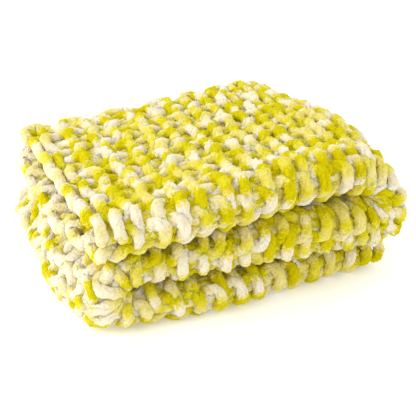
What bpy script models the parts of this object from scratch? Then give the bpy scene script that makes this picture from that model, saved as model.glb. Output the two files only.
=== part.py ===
"""Knitted blanket folded in half, then in thirds back and forth, lying flat.

Metres. X runs along the front fold, Y from the front fold to the open back edges, Z up.
The sheet is one closed slab. It is laid out flat, then carried onto its folds.
"""

import bmesh
import bpy
import numpy as np

# the knitted sheet
sheet_thickness = 0.0240
sheet_width = 0.82
layer_gap = 0.0035
relax = 0.001

# where the thirds start, turn and end, along X
top_start = -0.246
right_turn = 0.173
left_turn = -0.189
bottom_end = 0.191
turn_stretch = 1.04

# the front fold line, and how far each third's fold sits ahead of it
front_line = -0.174
top_ahead = 0.004
middle_behind = 0.002
bottom_behind = 0.002
top_swing = 0.006
middle_swing = 0.002
bottom_swing = 0.022
edge_slip = 0.009
under_out = 0.020

# half the spacing of the two layers in each third
top_half = 0.0155
middle_half = 0.0155
bottom_half = 0.0145
crown_half = 0.003
top_front = 0.0055
top_front_right = 0.002
middle_right = 0.004
middle_front_right = 0.013
bottom_front_left = 0.0045
front_reach = 0.07

# slump of the whole stack: the most that each soft move adds
stack_height = 0.170
foot_out = 0.046
foot_in_back = 0.017
foot_in_fore = 0.024
foot_right = 0.006
waist_tuck = 0.022
belly_out = 0.014
right_draw = 0.016
front_draw = 0.020
corner_draw = 0.008
corner_pull = 0.014
crown_back = 0.004
right_forward = 0.004
left_back = 0.026
left_corner_pull = 0.020
crown_lift = 0.005
waist_lift = 0.018
right_lift = 0.005
left_lift = 0.006
right_drop = 0.010
far_right_drop = 0.016
left_drop = 0.004

# grid cells along the length (five runs) and across the width (three runs)
length_cells = (13, 9, 11, 9, 12)
width_cells = (12, 13, 12)
turn_room = 0.050


def ease(start, end, value):
    part = np.clip((value - start) / (end - start), 0.0, 1.0)
    return part * part * (3.0 - 2.0 * part)


def hump(value, centre, spread):
    return np.exp(-(((value - centre) / spread) ** 2))


def crown_at(x, y):
    return np.clip(1.0 - (x / 0.27) ** 2, 0.0, 1.0) * np.clip(1.0 - (y / 0.24) ** 2, 0.0, 1.0)


def levels(x, y):
    """Height of the middle of each third, and half the spacing of its layers."""
    side = ease(-0.20, 0.20, x)
    near_front = np.exp(-np.clip(y - front_line, 0.0, 1.0) / front_reach)
    crown = crown_at(x, y)
    half_top = top_half + crown_half * crown + (top_front + top_front_right * side) * near_front
    half_middle = middle_half + crown_half * crown + (middle_front_right * near_front + middle_right) * side
    half_bottom = bottom_half + relax * crown + bottom_front_left * (1.0 - side) * near_front
    bottom = half_bottom + sheet_thickness / 2
    spacing = sheet_thickness + layer_gap + relax * crown
    middle = bottom + half_bottom + half_middle + spacing
    top = middle + half_middle + half_top + spacing
    return top, middle, bottom, half_top, half_middle, half_bottom


def run_lengths():
    """Lengths of the top third, right turn, middle third, left turn and bottom third."""
    inner = (sheet_thickness + layer_gap) / 2
    top, middle, bottom, a, b, c = levels(right_turn, 0.0)
    right_arc = np.pi * (inner + (a + b) / 2)
    top, middle, bottom, a, b, c = levels(left_turn, 0.0)
    left_arc = np.pi * (inner + (b + c) / 2)
    return (
        right_turn - top_start,
        float(right_arc),
        right_turn - left_turn,
        float(left_arc),
        bottom_end - left_turn,
    )


def slump(x, y, z):
    """The soft lean of the whole stack: crown at the back, foot out at the left."""
    back = ease(-0.06, 0.20, y)
    fore = 1.0 - ease(-0.19, -0.05, y)
    waist = hump(y, -0.02, 0.11)
    to_right = ease(0.0, 0.24, x)
    far_right = ease(0.10, 0.27, x)
    to_left = ease(-0.05, -0.24, x)
    middle = hump(x, 0.08, 0.15)
    height = np.clip(z / stack_height, 0.0, 1.1)
    foot = 1.0 - ease(0.05, 0.80, height)
    new_x = x - (right_draw * height + corner_draw * back + front_draw * fore * height) * far_right
    new_x = new_x + (belly_out * hump(height, 0.30, 0.20) + foot_right * foot * fore) * to_right
    new_x = new_x - (foot_out - foot_in_back * back - foot_in_fore * fore) * foot * to_left
    new_x = new_x + waist_tuck * to_left * back * hump(height, 0.52, 0.18)
    new_y = y + crown_back * back * middle * height - corner_pull * back * far_right
    new_y = new_y - (1.0 - height) * (right_forward * to_right - left_back * to_left * fore)
    new_y = new_y - left_corner_pull * back * to_left * (1.0 - ease(0.60, 0.85, height))
    lift = waist_lift * waist * to_right
    lift = lift + (crown_lift * middle + right_lift * far_right + left_lift * to_left) * back
    drop = (right_drop * to_right + far_right_drop * far_right) * fore + left_drop * to_left
    return new_x, new_y, z + (lift - drop) * height


def folded(along, across, out):
    """Carries points of the flat sheet onto its folds."""
    runs = run_lengths()
    starts = np.cumsum([0.0, *runs])
    run = np.clip(np.searchsorted(starts, along, side="right") - 1, 0, 4)
    inside = along - starts[run]
    still = np.zeros_like(inside)
    plan = (
        top_start + inside,
        right_turn + still,
        right_turn - inside,
        left_turn + still,
        left_turn + inside,
    )
    x = np.choose(run, plan)
    turn = np.choose(run, (still, inside / runs[1], still, inside / runs[3], still))
    blend = turn * turn * (3.0 - 2.0 * turn)

    def by_run(first, second, third):
        right = first * (1.0 - blend) + second * blend
        left = second * (1.0 - blend) + third * blend
        return np.choose(run, (first, right, second, left, third))

    side = ease(-0.15, 0.20, x)
    ahead = by_run(
        -top_ahead + top_swing * side,
        middle_behind + middle_swing * side,
        bottom_behind + bottom_swing * side,
    )
    fold_y = front_line + ahead
    half = by_run(*levels(x, fold_y)[3:])
    reach = np.pi * half / 2
    slipped = across - edge_slip * np.sin(along * 7.0 + 0.6)
    # the under layer of the top third reaches further than the upper one
    x = x - under_out * (1.0 - ease(0.0, 0.15, along)) * ease(0.02, 0.20, -slipped)
    distance = np.abs(slipped)
    flat_side = np.where(slipped > 0.0, 0.0, np.pi)
    bend = np.where(distance < reach, (1.0 - slipped / reach) * np.pi / 2, flat_side)
    y = np.where(distance < reach, fold_y, fold_y + distance - reach)
    top, middle, bottom, a, b, c = levels(x, y)
    half = by_run(a, b, c)
    radius = half + out
    offset = radius * np.cos(bend)
    y = y - radius * np.sin(bend)
    z = np.choose(run, (top + offset, still, middle - offset, still, bottom + offset))

    # each turn swings about the crease between the two thirds it joins
    inner = (sheet_thickness + layer_gap + relax * crown_at(x, y)) / 2
    angle = np.pi / 2 - np.pi * turn
    swing = inner + half + offset
    crease = middle + b + inner
    x = np.where(run == 1, right_turn + turn_stretch * swing * np.cos(angle), x)
    z = np.where(run == 1, crease + swing * np.sin(angle), z)
    angle = np.pi / 2 + np.pi * turn
    swing = inner + half - offset
    crease = bottom + c + inner
    x = np.where(run == 3, left_turn + turn_stretch * swing * np.cos(angle), x)
    z = np.where(run == 3, crease + swing * np.sin(angle), z)
    return np.stack(slump(x, y, z), axis=-1)


def stops(lengths, cells):
    """Even stops within each run, as one rising list."""
    found = [0.0]
    for length, count in zip(lengths, cells):
        begin = found[-1]
        found.extend([begin + length * (i + 1) / count for i in range(count)])
    return np.array(found)


def flat_slab(mesh):
    """A flat grid in cell numbers, thickened into a closed slab."""
    cells_x = sum(length_cells)
    cells_y = sum(width_cells)
    work = bmesh.new()
    bmesh.ops.create_grid(work, x_segments=cells_x, y_segments=cells_y, size=0.5)
    bmesh.ops.solidify(work, geom=work.faces[:], thickness=1.0)
    bmesh.ops.recalc_face_normals(work, faces=work.faces[:])
    work.to_mesh(mesh)
    work.free()


def build_blanket():
    mesh = bpy.data.meshes.new("blanket")
    flat_slab(mesh)
    count = len(mesh.vertices)
    flat = np.empty(count * 3)
    mesh.vertices.foreach_get("co", flat)
    flat = flat.reshape(count, 3)
    middle_z = (flat[:, 2].max() + flat[:, 2].min()) / 2

    lengths = stops(run_lengths(), length_cells)
    side_run = (sheet_width - turn_room * 2) / 2
    widths = stops((side_run, turn_room * 2, side_run), width_cells) - sheet_width / 2
    cell_x = np.rint((flat[:, 0] + 0.5) * sum(length_cells)).astype(int)
    cell_y = np.rint((flat[:, 1] + 0.5) * sum(width_cells)).astype(int)
    out = np.where(flat[:, 2] > middle_z, 1.0, -1.0) * sheet_thickness / 2
    points = folded(lengths[cell_x], widths[cell_y], out)
    points[:, :2] -= (points[:, :2].max(axis=0) + points[:, :2].min(axis=0)) / 2
    mesh.vertices.foreach_set("co", points.ravel())
    mesh.update()
    return bpy.data.objects.new("blanket", mesh)


def plush_material():
    material = bpy.data.materials.new("plush_yarn")
    material.use_nodes = True
    shader = material.node_tree.nodes["Principled BSDF"]
    shader.inputs["Base Color"].default_value = (0.82, 0.75, 0.30, 1.0)
    shader.inputs["Roughness"].default_value = 0.95
    return material


for old in list(bpy.data.objects):
    bpy.data.objects.remove(old)
collection = bpy.data.collections.new("chunky_knit_blanket")
bpy.context.scene.collection.children.link(collection)
blanket = build_blanket()
blanket.data.materials.append(plush_material())
collection.objects.link(blanket)
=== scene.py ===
import math

import bmesh
import bpy
import numpy as np
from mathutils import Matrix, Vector


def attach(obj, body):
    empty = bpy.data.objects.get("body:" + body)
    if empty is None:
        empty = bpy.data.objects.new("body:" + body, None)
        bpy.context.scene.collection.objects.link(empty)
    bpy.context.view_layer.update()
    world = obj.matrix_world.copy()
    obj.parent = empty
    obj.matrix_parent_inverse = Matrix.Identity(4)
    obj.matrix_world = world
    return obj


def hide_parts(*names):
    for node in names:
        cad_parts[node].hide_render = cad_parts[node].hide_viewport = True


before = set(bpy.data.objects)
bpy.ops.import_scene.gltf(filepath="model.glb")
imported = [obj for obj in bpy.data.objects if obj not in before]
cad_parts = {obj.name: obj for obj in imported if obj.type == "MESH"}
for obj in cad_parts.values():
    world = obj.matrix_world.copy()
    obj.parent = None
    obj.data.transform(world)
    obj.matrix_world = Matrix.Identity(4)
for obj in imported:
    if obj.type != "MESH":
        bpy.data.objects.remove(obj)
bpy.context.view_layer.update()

# the folds, in metres: X along the front fold, Y towards the open edges, Z up
# an ease is where it starts and where it is full
fold = dict(
    thickness=0.0240, gap=0.0035, width=0.82, relax=0.001,
    topStart=-0.246, rightTurn=0.173, leftTurn=-0.189, bottomEnd=0.191, turnStretch=1.04,
    frontLine=-0.174, frontReach=0.07, topAhead=0.004, middleBehind=0.002, bottomBehind=0.002,
    topSwing=0.006, middleSwing=0.002, bottomSwing=0.022, swingEase=(-0.15, 0.20),
    topHalf=0.0155, middleHalf=0.0155, bottomHalf=0.0145,
    crownHalf=0.003, crownReachX=0.27, crownReachY=0.24,
    topFront=0.0055, topFrontRight=0.002, middleRight=0.004, middleFrontRight=0.013,
    bottomFrontLeft=0.0045, levelEase=(-0.20, 0.20),
    edgeSlip=0.009, slipRate=7.0, slipStart=0.6,
    underOut=0.020, underAlongEase=(0.0, 0.15), underAcrossEase=(0.02, 0.20),
    turnRoom=0.050, lengthCells=(13, 9, 11, 9, 12), widthCells=(12, 13, 12),
)
# the most that each soft move of the slumped stack adds
slump = dict(
    footOut=0.046, footInBack=0.017, footInFore=0.024, footRight=0.006, waistTuck=0.022,
    bellyOut=0.014, rightDraw=0.016, frontDraw=0.020, cornerDraw=0.008, cornerPull=0.014,
    crownBack=0.004, rightForward=0.004, leftBack=0.026, leftCornerPull=0.020,
    crownLift=0.005, waistLift=0.018, rightLift=0.005, leftLift=0.006,
    rightDrop=0.010, farRightDrop=0.016, leftDrop=0.004,
    backEase=(-0.06, 0.20), foreEase=(-0.19, -0.05), rightEase=(0.0, 0.24), farRightEase=(0.10, 0.27),
    leftEase=(-0.05, -0.24),
    # a hump is its centre and its spread
    waistHump=(-0.02, 0.11), middleHump=(0.08, 0.15), stackHeight=0.170,
    # these are parts of stackHeight
    mostHeight=1.1, footEase=(0.05, 0.80), leftCornerEase=(0.60, 0.85),
    bellyHump=(0.30, 0.20), tuckHump=(0.52, 0.18),
)


def ease(start, end, value):
    part = np.clip((value - start) / (end - start), 0.0, 1.0)
    return part * part * (3.0 - 2.0 * part)


def hump(value, centre, spread):
    return np.exp(-(((value - centre) / spread) ** 2))


def crownAt(x, y):
    alongX = np.clip(1.0 - (x / fold["crownReachX"]) ** 2, 0.0, 1.0)
    return alongX * np.clip(1.0 - (y / fold["crownReachY"]) ** 2, 0.0, 1.0)


# height of the middle of each third, and half the spacing of its two layers
def levelsAt(x, y):
    side = ease(*fold["levelEase"], x)
    nearFront = np.exp(-np.clip(y - fold["frontLine"], 0.0, 1.0) / fold["frontReach"])
    crown = crownAt(x, y)
    halfTop = fold["topHalf"] + fold["crownHalf"] * crown
    halfTop = halfTop + (fold["topFront"] + fold["topFrontRight"] * side) * nearFront
    halfMiddle = fold["middleHalf"] + fold["crownHalf"] * crown
    halfMiddle = halfMiddle + (fold["middleFrontRight"] * nearFront + fold["middleRight"]) * side
    halfBottom = fold["bottomHalf"] + fold["relax"] * crown
    halfBottom = halfBottom + fold["bottomFrontLeft"] * (1.0 - side) * nearFront
    bottom = halfBottom + fold["thickness"] / 2
    spacing = fold["thickness"] + fold["gap"] + fold["relax"] * crown
    middle = bottom + halfBottom + halfMiddle + spacing
    top = middle + halfMiddle + halfTop + spacing
    return top, middle, bottom, halfTop, halfMiddle, halfBottom


# top third, right turn, middle third, left turn, bottom third
def runLengths():
    crease = (fold["thickness"] + fold["gap"]) / 2
    halfTop, halfMiddle, halfBottom = levelsAt(fold["rightTurn"], 0.0)[3:]
    rightArc = float(np.pi * (crease + (halfTop + halfMiddle) / 2))
    halfTop, halfMiddle, halfBottom = levelsAt(fold["leftTurn"], 0.0)[3:]
    leftArc = float(np.pi * (crease + (halfMiddle + halfBottom) / 2))
    return (fold["rightTurn"] - fold["topStart"], rightArc, fold["rightTurn"] - fold["leftTurn"],
            leftArc, fold["bottomEnd"] - fold["leftTurn"])


# the soft lean of the whole stack
def slumped(x, y, z):
    back = ease(*slump["backEase"], y)
    fore = 1.0 - ease(*slump["foreEase"], y)
    waist = hump(y, *slump["waistHump"])
    toRight = ease(*slump["rightEase"], x)
    farRight = ease(*slump["farRightEase"], x)
    toLeft = ease(*slump["leftEase"], x)
    middle = hump(x, *slump["middleHump"])
    height = np.clip(z / slump["stackHeight"], 0.0, slump["mostHeight"])
    foot = 1.0 - ease(*slump["footEase"], height)
    belly = hump(height, *slump["bellyHump"])
    tuck = hump(height, *slump["tuckHump"])
    drawn = slump["rightDraw"] * height + slump["cornerDraw"] * back + slump["frontDraw"] * fore * height
    newX = x - drawn * farRight
    newX = newX + (slump["bellyOut"] * belly + slump["footRight"] * foot * fore) * toRight
    newX = newX - (slump["footOut"] - slump["footInBack"] * back - slump["footInFore"] * fore) * foot * toLeft
    newX = newX + slump["waistTuck"] * toLeft * back * tuck
    newY = y + slump["crownBack"] * back * middle * height - slump["cornerPull"] * back * farRight
    newY = newY - (1.0 - height) * (slump["rightForward"] * toRight - slump["leftBack"] * toLeft * fore)
    newY = newY - slump["leftCornerPull"] * back * toLeft * (1.0 - ease(*slump["leftCornerEase"], height))
    lift = slump["crownLift"] * middle + slump["rightLift"] * farRight + slump["leftLift"] * toLeft
    lift = slump["waistLift"] * waist * toRight + lift * back
    drop = (slump["rightDrop"] * toRight + slump["farRightDrop"] * farRight) * fore
    drop = drop + slump["leftDrop"] * toLeft
    return newX, newY, z + (lift - drop) * height


runs = runLengths()
runStarts = np.cumsum([0.0, *runs])
blanketLength = float(runStarts[-1])


# carries points of the flat blanket onto its folds: along, across, and out of the face
def foldedPoints(along, across, out):
    along, across, out = np.broadcast_arrays(along, across, out)
    run = np.clip(np.searchsorted(runStarts, along, side="right") - 1, 0, 4)
    inside = along - runStarts[run]
    still = np.zeros_like(inside)
    right, left = fold["rightTurn"], fold["leftTurn"]
    start = fold["topStart"]
    x = np.choose(run, (start + inside, right + still, right - inside, left + still, left + inside))
    turn = np.choose(run, (still, inside / runs[1], still, inside / runs[3], still))
    blend = ease(0.0, 1.0, turn)

    def byRun(first, second, third):
        rightSide = first * (1.0 - blend) + second * blend
        leftSide = second * (1.0 - blend) + third * blend
        return np.choose(run, (first, rightSide, second, leftSide, third))

    side = ease(*fold["swingEase"], x)
    foldY = fold["frontLine"] + byRun(
        -fold["topAhead"] + fold["topSwing"] * side,
        fold["middleBehind"] + fold["middleSwing"] * side,
        fold["bottomBehind"] + fold["bottomSwing"] * side,
    )
    half = byRun(*levelsAt(x, foldY)[3:])
    reach = np.pi * half / 2
    slipped = across - fold["edgeSlip"] * np.sin(along * fold["slipRate"] + fold["slipStart"])
    # the under layer of the top third reaches further than the upper one
    underPart = (1.0 - ease(*fold["underAlongEase"], along)) * ease(*fold["underAcrossEase"], -slipped)
    x = x - fold["underOut"] * underPart
    distance = np.abs(slipped)
    around = (1.0 - slipped / reach) * np.pi / 2
    bend = np.where(distance < reach, around, np.where(slipped > 0.0, 0.0, np.pi))
    y = np.where(distance < reach, foldY, foldY + distance - reach)
    top, middle, bottom, halfTop, halfMiddle, halfBottom = levelsAt(x, y)
    half = byRun(halfTop, halfMiddle, halfBottom)
    radius = half + out
    offset = radius * np.cos(bend)
    y = y - radius * np.sin(bend)
    z = np.choose(run, (top + offset, still, middle - offset, still, bottom + offset))
    # each turn swings about the crease between the two thirds it joins
    crease = (fold["thickness"] + fold["gap"] + fold["relax"] * crownAt(x, y)) / 2
    angle = np.pi / 2 - np.pi * turn
    swing = crease + half + offset
    x = np.where(run == 1, right + fold["turnStretch"] * swing * np.cos(angle), x)
    z = np.where(run == 1, middle + halfMiddle + crease + swing * np.sin(angle), z)
    angle = np.pi / 2 + np.pi * turn
    swing = crease + half - offset
    x = np.where(run == 3, left + fold["turnStretch"] * swing * np.cos(angle), x)
    z = np.where(run == 3, bottom + halfBottom + crease + swing * np.sin(angle), z)
    return np.stack(slumped(x, y, z), axis=-1)


def evenStops(lengths, cells):
    found = [0.0]
    for length, count in zip(lengths, cells):
        begin = found[-1]
        found.extend([begin + length * (i + 1) / count for i in range(count)])
    return np.array(found)


# the stack stands with the middle of its box over the origin
def stackMiddle():
    lengths = evenStops(runs, fold["lengthCells"])
    sideRun = fold["width"] / 2 - fold["turnRoom"]
    widths = evenStops((sideRun, fold["turnRoom"] * 2, sideRun), fold["widthCells"]) - fold["width"] / 2
    along, across = np.meshgrid(lengths, widths, indexing="ij")
    faces = [foldedPoints(along, across, side * fold["thickness"] / 2) for side in (-1, 1)]
    corners = np.concatenate([face.reshape(-1, 3) for face in faces])
    middle = (corners.max(axis=0) + corners.min(axis=0)) / 2
    return np.array([middle[0], middle[1], 0.0])


middleOffset = stackMiddle()


def placedPoints(along, across, out):
    return foldedPoints(along, across, out) - middleOffset


def sceneObject(name, data):
    made = bpy.data.objects.new(name, data)
    bpy.context.scene.collection.objects.link(made)
    return made


# a socket that can be used in sums, and that adds any other node
class Wire:
    def __init__(self, tree, socket=None):
        self.tree = tree
        self.socket = socket

    def fill(self, node, sockets):
        for key, value in sockets.items():
            if isinstance(value, Wire):
                self.tree.links.new(value.socket, node.inputs[key])
            else:
                node.inputs[key].default_value = value

    def add(self, kind, settings=None, sockets=None, output=0):
        node = self.tree.nodes.new("ShaderNode" + kind)
        for key, value in (settings or {}).items():
            if key == "stops":
                ramp = node.color_ramp
                for place, colour in value[2:]:
                    ramp.elements.new(place)
                for element, (place, colour) in zip(ramp.elements, value):
                    element.position = place
                    element.color = colour
            else:
                setattr(node, key, value)
        self.fill(node, sockets or {})
        return Wire(self.tree, node.outputs[output])

    def maths(self, operation, first, second):
        return self.add("Math", {"operation": operation}, {0: first, 1: second})

    def __add__(self, other):
        return self.maths("ADD", self, other)

    def __radd__(self, other):
        return self.maths("ADD", other, self)

    def __sub__(self, other):
        return self.maths("SUBTRACT", self, other)

    def __rsub__(self, other):
        return self.maths("SUBTRACT", other, self)

    def __mul__(self, other):
        return self.maths("MULTIPLY", self, other)

    def __rmul__(self, other):
        return self.maths("MULTIPLY", other, self)


def newMaterial(name):
    material = bpy.data.materials.new(name)
    material.use_nodes = True
    return material, Wire(material.node_tree), material.node_tree.nodes["Principled BSDF"]


# one knitted row runs across the blanket; its heads stand up on the outer face
knit = dict(
    rows=49, rowsPerPiece=6, stitches=13, samples=48, turnSamples=9, sides=14, seed=11,
    endRoom=0.004, endReach=0.60, closerAtTurns=0.75, lineSamples=600, floorRoom=0.004, floorPress=0.9,
    yarnRadius=0.0081, headWidth=1.30, reachOver=1.02, relief=0.0066, tilt=0.55,
    edgeInset=0.012, edgeTurn=0.006, chainStep=0.030, chainWave=0.0035, chainSample=0.0034,
    chainWanderEvery=12, chainDyeStart=200,
    jitter=0.0016, unevenHead=0.12, unevenReach=0.07, lean=0.045, leanLength=0.46,
    knob=0.0010, knobMost=2.0, swell=0.07, swellEvery=0.025, tipThin=0.02,
)


# the rows stand closer where the folds turn, as the outer face is longer there
def rowLines():
    u = np.linspace(knit["endRoom"], blanketLength - knit["endRoom"], knit["lineSamples"])
    closer = sum(hump(u, (runStarts[turn] + runStarts[turn + 1]) / 2, runs[turn] / 2) for turn in (1, 3))
    passed = np.cumsum(1.0 + knit["closerAtTurns"] * closer)
    rowsPassed = (passed - passed[0]) / (passed[-1] - passed[0]) * (knit["rows"] - 1 + 2 * knit["endReach"])
    return rowsPassed - knit["endReach"], u


rowNumbers, rowPlaces = rowLines()


# rows on top of the stack drift to the right towards the back
def leaned(u, v):
    along = np.clip(u / knit["leanLength"], 0.0, 1.0)
    return u + knit["lean"] * np.sin(np.pi * along) ** 2 * np.clip(v / fold["width"] * 2, 0.0, 1.0)


def knittedRow(index, random):
    pitch = (fold["width"] - 2 * knit["edgeInset"]) / knit["stitches"]
    count = knit["stitches"] * knit["samples"] + 1
    t = np.linspace(-np.pi, np.pi * (2 * knit["stitches"] - 1), count)
    stitch = t / (2 * np.pi)
    knots = np.arange(-1, knit["stitches"] * 2 + 2) * 0.5 - 0.5

    # every stitch differs a little from the next
    def uneven(size):
        return np.interp(stitch, knots, random.normal(0.0, size, len(knots)))

    headWidth = knit["headWidth"] * (1.0 + uneven(knit["unevenHead"]))
    reach = knit["reachOver"] * (1.0 + uneven(knit["unevenReach"]))
    v = (t + headWidth * np.sin(2 * t)) / (2 * np.pi) * pitch + uneven(knit["jitter"])
    v = v + pitch / 2 - fold["width"] / 2 + knit["edgeInset"]
    line = np.clip(index + reach * np.cos(t), -knit["endReach"], knit["rows"] - 1 + knit["endReach"])
    u = np.interp(line, rowNumbers, rowPlaces) + uneven(knit["jitter"])
    w = knit["relief"] * np.cos(2 * t - knit["tilt"]) + uneven(knit["jitter"])
    row = np.stack((u, v, w), axis=-1)
    return row[::-1] if index % 2 else row


# the yarn turns at the edge of the blanket and starts the next row
def edgeTurn(before, after, outwards):
    part = np.linspace(0.0, 1.0, knit["turnSamples"] + 2)[1:-1, None]
    swing = (1.0 - np.cos(np.pi * part)) / 2
    turn = before * (1.0 - swing) + after * swing
    turn[:, 1:2] += outwards * knit["edgeTurn"] * np.sin(np.pi * part)
    return turn


def yarnPath(first, last, random):
    rows = [knittedRow(index, random) for index in range(first, last)]
    path = [rows[0]]
    for index, row in zip(range(first, last), rows[1:]):
        path += [edgeTurn(path[-1][-1], row[0], -1.0 if index % 2 else 1.0), row]
    u, v, w = np.concatenate(path).T
    return placedPoints(np.clip(leaned(u, v), 0.0, blanketLength), v, w)


# the chain of small stitches along each side edge of the blanket
def edgePath(side, random):
    count = int(blanketLength / knit["chainSample"])
    u = np.linspace(knit["endRoom"], blanketLength - knit["endRoom"], count)
    phase = u * 2 * np.pi / knit["chainStep"]
    knots = rowPlaces[::knit["chainWanderEvery"]]
    wander = np.interp(u, knots, random.normal(0.0, knit["jitter"], len(knots)))
    v = side * (fold["width"] / 2 - knit["edgeInset"] + knit["chainWave"] * np.cos(phase)) + wander
    w = knit["chainWave"] * np.sin(phase) + wander
    return placedPoints(u, v, w)


# a round section is carried along the path without twisting it
def ringsAlong(points, radii):
    steps = np.gradient(points, axis=0)
    steps /= np.linalg.norm(steps, axis=1, keepdims=True)
    normal = np.empty_like(points)
    current = np.array([0.0, 0.0, 1.0])
    for i, step in enumerate(steps):
        current = current - step * np.dot(current, step)
        current = current / max(np.linalg.norm(current), 1e-6)
        normal[i] = current
    binormal = np.cross(steps, normal)
    turn = np.arange(knit["sides"]) * 2 * np.pi / knit["sides"]
    outwards = normal[:, None] * np.cos(turn)[:, None] + binormal[:, None] * np.sin(turn)[:, None]
    return points[:, None] + outwards * radii[..., None]


# each shade of the dye has its place between 0 and 1, and the hollows between the tufts take a painted shade,
# a darker tint multiplied into the colour
plush = dict(
    acid=(0.40, (0.64, 0.56, 0.0, 1.0)), lemon=(0.46, (0.75, 0.67, 0.03, 1.0)),
    butter=(0.51, (0.80, 0.705, 0.21, 1.0)), cream=(0.56, (0.84, 0.755, 0.45, 1.0)),
    white=(0.62, (0.88, 0.82, 0.725, 1.0)), dyeScale=24.0, dyeWander=0.026,
    # the pale keys lighten the left end, partly paler dye and partly painted light
    paleEnd=-0.10, paleFade=0.12, paleAndLitShift=0.10, paleLean=0.4, hollowPaintedShade=(0.86, 0.80, 0.42, 1.0),
    tuftScale=250.0, tuftSoft=0.3, fuzzScale=300.0, fibreScale=800.0, fibreRough=0.7,
    # the first three weights here set how much painted shade the hollows, sunken knobs and low fuzz get
    tuftPaintedShade=0.7, knobPaintedShade=0.12, fuzzPaintedShade=0.6, bumpDepth=0.0022, fibreBump=0.3,
    roughness=0.82, roughChange=0.3, gloss=0.05,
    glow=0.6, glowDepth=0.006, glowColour=(1.0, 0.9, 0.4),
    sheen=0.02, sheenRoughness=0.5, sheenTint=(1.0, 0.95, 0.55, 1.0),
)


# paler towards the left end of the stack: partly paler dye, partly painted light for the brightly lit left
# side
def paleDyeAndPaintedLight(points):
    reach = points[:, 0] + plush["paleLean"] * points[:, 2]
    return 1.0 - ease(plush["paleEnd"] - plush["paleFade"], plush["paleEnd"], reach)


def markPoints(mesh, name, values):
    mesh.attributes.new(name, "FLOAT", "POINT").data.foreach_set("value", values.astype(np.float32))


def yarnPiece(name, dyeStart, points, random):
    sides = knit["sides"]
    length = np.concatenate([[0.0], np.cumsum(np.linalg.norm(np.diff(points, axis=0), axis=1))])
    places = np.arange(0.0, length[-1] + knit["swellEvery"], knit["swellEvery"])
    swell = np.interp(length, places, random.normal(0.0, knit["swell"], len(places)))
    ends = np.minimum(length, length[-1] - length)
    tuft = np.clip(random.normal(0.0, 1.0, (len(points), sides)), -knit["knobMost"], knit["knobMost"])
    radii = knit["yarnRadius"] * (1.0 + swell)[:, None] + knit["knob"] * tuft
    radii = radii * np.sqrt(np.clip(ends / knit["yarnRadius"], knit["tipThin"], 1.0))[:, None]
    rings = ringsAlong(points, radii).reshape(-1, 3)
    # what would sink into the floor is pressed flat on it
    room = knit["floorRoom"]
    under = rings[:, 2] < room
    rings[under, 2] = room - knit["floorPress"] * room * np.tanh((room - rings[under, 2]) / room)
    grid = np.arange(len(points) * sides).reshape(-1, sides)
    nextSide = np.roll(grid, -1, axis=1)
    quads = np.stack([grid[:-1], nextSide[:-1], nextSide[1:], grid[1:]], axis=-1).reshape(-1, 4)
    mesh = bpy.data.meshes.new(name)
    mesh.from_pydata(rings, [], quads.tolist())
    markPoints(mesh, "alongYarn", np.repeat(length + dyeStart, sides))
    markPoints(mesh, "tuft", tuft.ravel())
    # paler towards the left end, partly dye and partly painted light
    markPoints(mesh, "pale", paleDyeAndPaintedLight(rings))
    work = bmesh.new()
    work.from_mesh(mesh)
    bmesh.ops.holes_fill(work, edges=[edge for edge in work.edges if edge.is_boundary], sides=sides)
    bmesh.ops.recalc_face_normals(work, faces=work.faces[:])
    work.to_mesh(mesh)
    work.free()
    mesh.shade_smooth()
    return sceneObject(name, mesh)


def plushMaterial(name):
    material, wires, shader = newMaterial(name)
    along = wires.add("Attribute", {"attribute_name": "alongYarn"}, output=2)
    tuft = wires.add("Attribute", {"attribute_name": "tuft"}, output=2)
    pale = wires.add("Attribute", {"attribute_name": "pale"}, output=2)
    place = wires.add("TexCoord", output=3)
    fuzz = wires.add("TexNoise", {"noise_dimensions": "3D"},
                     {"Vector": place, "Scale": plush["fuzzScale"], "Detail": 2.0})
    fibre = wires.add("TexNoise", {"noise_dimensions": "3D"},
                      {"Vector": place, "Scale": plush["fibreScale"], "Detail": 2.0,
                       "Roughness": plush["fibreRough"]})
    strand = (along + fuzz * plush["dyeWander"]) * plush["dyeScale"]
    dye = wires.add("TexNoise", {"noise_dimensions": "1D"}, {"W": strand, "Scale": 1.0, "Detail": 1.0})
    shades = [plush[shade] for shade in ("acid", "lemon", "butter", "cream", "white")]
    # the left end is lifted paler: partly dye, partly painted light
    colour = wires.add("ValToRGB", {"stops": shades}, {"Fac": dye + plush["paleAndLitShift"] * pale})
    tufts = wires.add("TexVoronoi", {"feature": "SMOOTH_F1"},
                      {"Vector": place, "Scale": plush["tuftScale"], "Smoothness": plush["tuftSoft"]})
    # painted shade: darker between the tufts, where the knobs sink in and where the fuzz is low
    paintedShade = plush["tuftPaintedShade"] * tufts - plush["knobPaintedShade"] * tuft - plush["fuzzPaintedShade"] * (fuzz - 0.5)
    shaded = wires.add("Mix", {"data_type": "RGBA", "blend_type": "MULTIPLY"},
                       {0: paintedShade, 6: colour, 7: plush["hollowPaintedShade"]}, output=2)
    bump = wires.add("Bump", None, {"Height": fibre * plush["fibreBump"] - tufts, "Strength": 1.0,
                                    "Distance": plush["bumpDepth"]})
    wires.fill(shader, {
        "Base Color": shaded, "Roughness": plush["roughness"] + plush["roughChange"] * (fibre - 0.5),
        "Normal": bump, "Specular IOR Level": plush["gloss"],
        "Subsurface Weight": plush["glow"], "Subsurface Radius": plush["glowColour"],
        "Subsurface Scale": plush["glowDepth"], "Sheen Weight": plush["sheen"],
        "Sheen Roughness": plush["sheenRoughness"], "Sheen Tint": plush["sheenTint"],
    })
    return material


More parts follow.
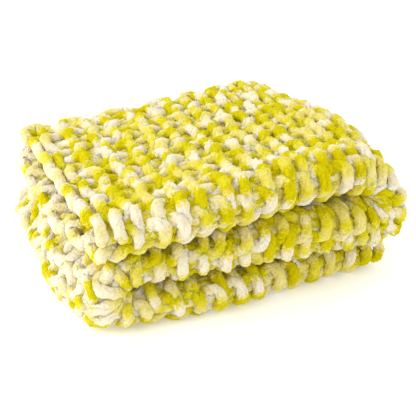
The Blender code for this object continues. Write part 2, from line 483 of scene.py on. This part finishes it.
# the inner sheet shows only between the stitches, so it is dyed and tufted like them
inner = dict(
    cellsAlong=110, cellsAcross=66, endInset=0.032, edgeInset=0.030, thickness=0.002,
    shades=((0.40, (0.64, 0.55, 0.0, 1.0)), (0.52, (0.78, 0.69, 0.08, 1.0)),
            (0.62, (0.86, 0.79, 0.45, 1.0)), (0.80, (0.90, 0.85, 0.74, 1.0))),
    # the left end is lifted paler here too, partly dye and partly painted light
    paleAndLitShift=0.28, mottleScale=60.0, tuftScale=130.0, bumpDepth=0.006, gloss=0.05,
)


def innerSheet(name):
    work = bmesh.new()
    bmesh.ops.create_grid(work, x_segments=inner["cellsAlong"], y_segments=inner["cellsAcross"], size=0.5)
    flat = np.array([vert.co for vert in work.verts])
    u = (flat[:, 0] + 0.5) * (blanketLength - 2 * inner["endInset"]) + inner["endInset"]
    v = flat[:, 1] * (fold["width"] - 2 * inner["edgeInset"])
    points = placedPoints(u, v, 0.0)
    for vert, point in zip(work.verts, points):
        vert.co = point
    mesh = bpy.data.meshes.new(name)
    work.to_mesh(mesh)
    work.free()
    markPoints(mesh, "pale", paleDyeAndPaintedLight(points))
    mesh.shade_smooth()
    piece = sceneObject(name, mesh)
    thick = piece.modifiers.new("thickness", "SOLIDIFY")
    thick.thickness = inner["thickness"]
    thick.offset = 0.0
    return piece


def innerMaterial(name):
    material, wires, shader = newMaterial(name)
    place = wires.add("TexCoord", output=3)
    mottle = wires.add("TexNoise", {"noise_dimensions": "3D"},
                       {"Vector": place, "Scale": inner["mottleScale"], "Detail": 3.0})
    tufts = wires.add("TexVoronoi", {"feature": "SMOOTH_F1"}, {"Vector": place, "Scale": inner["tuftScale"]})
    pale = wires.add("Attribute", {"attribute_name": "pale"}, output=2)
    # the left end is lifted paler: partly dye, partly painted light
    colour = wires.add("ValToRGB", {"stops": inner["shades"]}, {"Fac": mottle + inner["paleAndLitShift"] * pale})
    bump = wires.add("Bump", None, {"Height": 1.0 - tufts, "Strength": 1.0, "Distance": inner["bumpDepth"]})
    wires.fill(shader, {
        "Base Color": colour, "Roughness": 1.0, "Specular IOR Level": inner["gloss"], "Normal": bump,
    })
    return material


random = np.random.default_rng(knit["seed"])
plushYarn = plushMaterial("plushYarn")
ground = innerSheet("innerGround")
ground.data.materials.append(innerMaterial("shadedYarn"))
yarnPieces = []
for number, first in enumerate(range(0, knit["rows"], knit["rowsPerPiece"])):
    last = min(first + knit["rowsPerPiece"], knit["rows"])
    yarnPieces.append(yarnPiece(f"knitRows{number + 1}", first, yarnPath(first, last, random), random))
for number, side in enumerate((1.0, -1.0)):
    path = edgePath(side, random)
    yarnPieces.append(yarnPiece(f"edgeChain{number + 1}", knit["chainDyeStart"] + number, path, random))
for piece in yarnPieces:
    piece.data.materials.append(plushYarn)
    print(piece.name, len(piece.data.polygons), "faces")

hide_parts("blanket")
for piece in [ground, *yarnPieces]:
    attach(piece, "root")
print("blanket made")

# floor, light and camera
room = dict(
    floorSize=6.0, floorShade=(0.94, 0.94, 0.94, 1.0), floorRoughness=0.9, floorGlow=0.22,
    skyColour=(1.0, 1.0, 1.0, 1.0), skyStrength=1.0,
    keyPlace=(-2.0, 0.1, 1.3), keySize=1.8, keyPower=31.0,
    fillPlace=(2.1, -0.5, 1.2), fillSize=1.6, fillPower=9.5,
    target=(0.006, -0.011, 0.080), azimuth=-24.4, elevation=26.8, distance=1.40,
    lens=77.9, sensor=36.0, shiftX=0.019, shiftY=-0.0144,
)


def plainFloor(name):
    work = bmesh.new()
    bmesh.ops.create_grid(work, x_segments=1, y_segments=1, size=room["floorSize"] / 2)
    mesh = bpy.data.meshes.new(name)
    work.to_mesh(mesh)
    work.free()
    material, wires, shader = newMaterial("paleFloor")
    wires.fill(shader, {
        "Base Color": room["floorShade"], "Roughness": room["floorRoughness"],
        "Emission Color": (1.0, 1.0, 1.0, 1.0), "Emission Strength": room["floorGlow"],
    })
    mesh.materials.append(material)
    return sceneObject(name, mesh)


def softLight(name, place, size, power):
    data = bpy.data.lights.new(name, "AREA")
    data.energy = power
    data.size = size
    lamp = sceneObject(name, data)
    lamp.location = place
    lamp.rotation_euler = (Vector(room["target"]) - Vector(place)).to_track_quat("-Z", "Y").to_euler()


floor = plainFloor("floor")

world = bpy.data.worlds.new("studio")
world.use_nodes = True
sky = world.node_tree.nodes["Background"]
sky.inputs["Color"].default_value = room["skyColour"]
sky.inputs["Strength"].default_value = room["skyStrength"]
bpy.context.scene.world = world
bpy.context.scene.view_settings.view_transform = "Standard"
for light in ("key", "fill"):
    softLight(light + "Light", room[light + "Place"], room[light + "Size"], room[light + "Power"])

azimuth, elevation = math.radians(room["azimuth"]), math.radians(room["elevation"])
level = math.cos(elevation)
away = Vector((math.sin(azimuth) * level, -math.cos(azimuth) * level, math.sin(elevation)))
cameraData = bpy.data.cameras.new("camera")
cameraData.lens = room["lens"]
cameraData.sensor_width = room["sensor"]
cameraData.shift_x = room["shiftX"]
cameraData.shift_y = room["shiftY"]
camera = sceneObject("camera", cameraData)
camera.location = Vector(room["target"]) + away * room["distance"]
camera.rotation_euler = (-away).to_track_quat("-Z", "Y").to_euler()
bpy.context.scene.camera = camera
print("room ready")
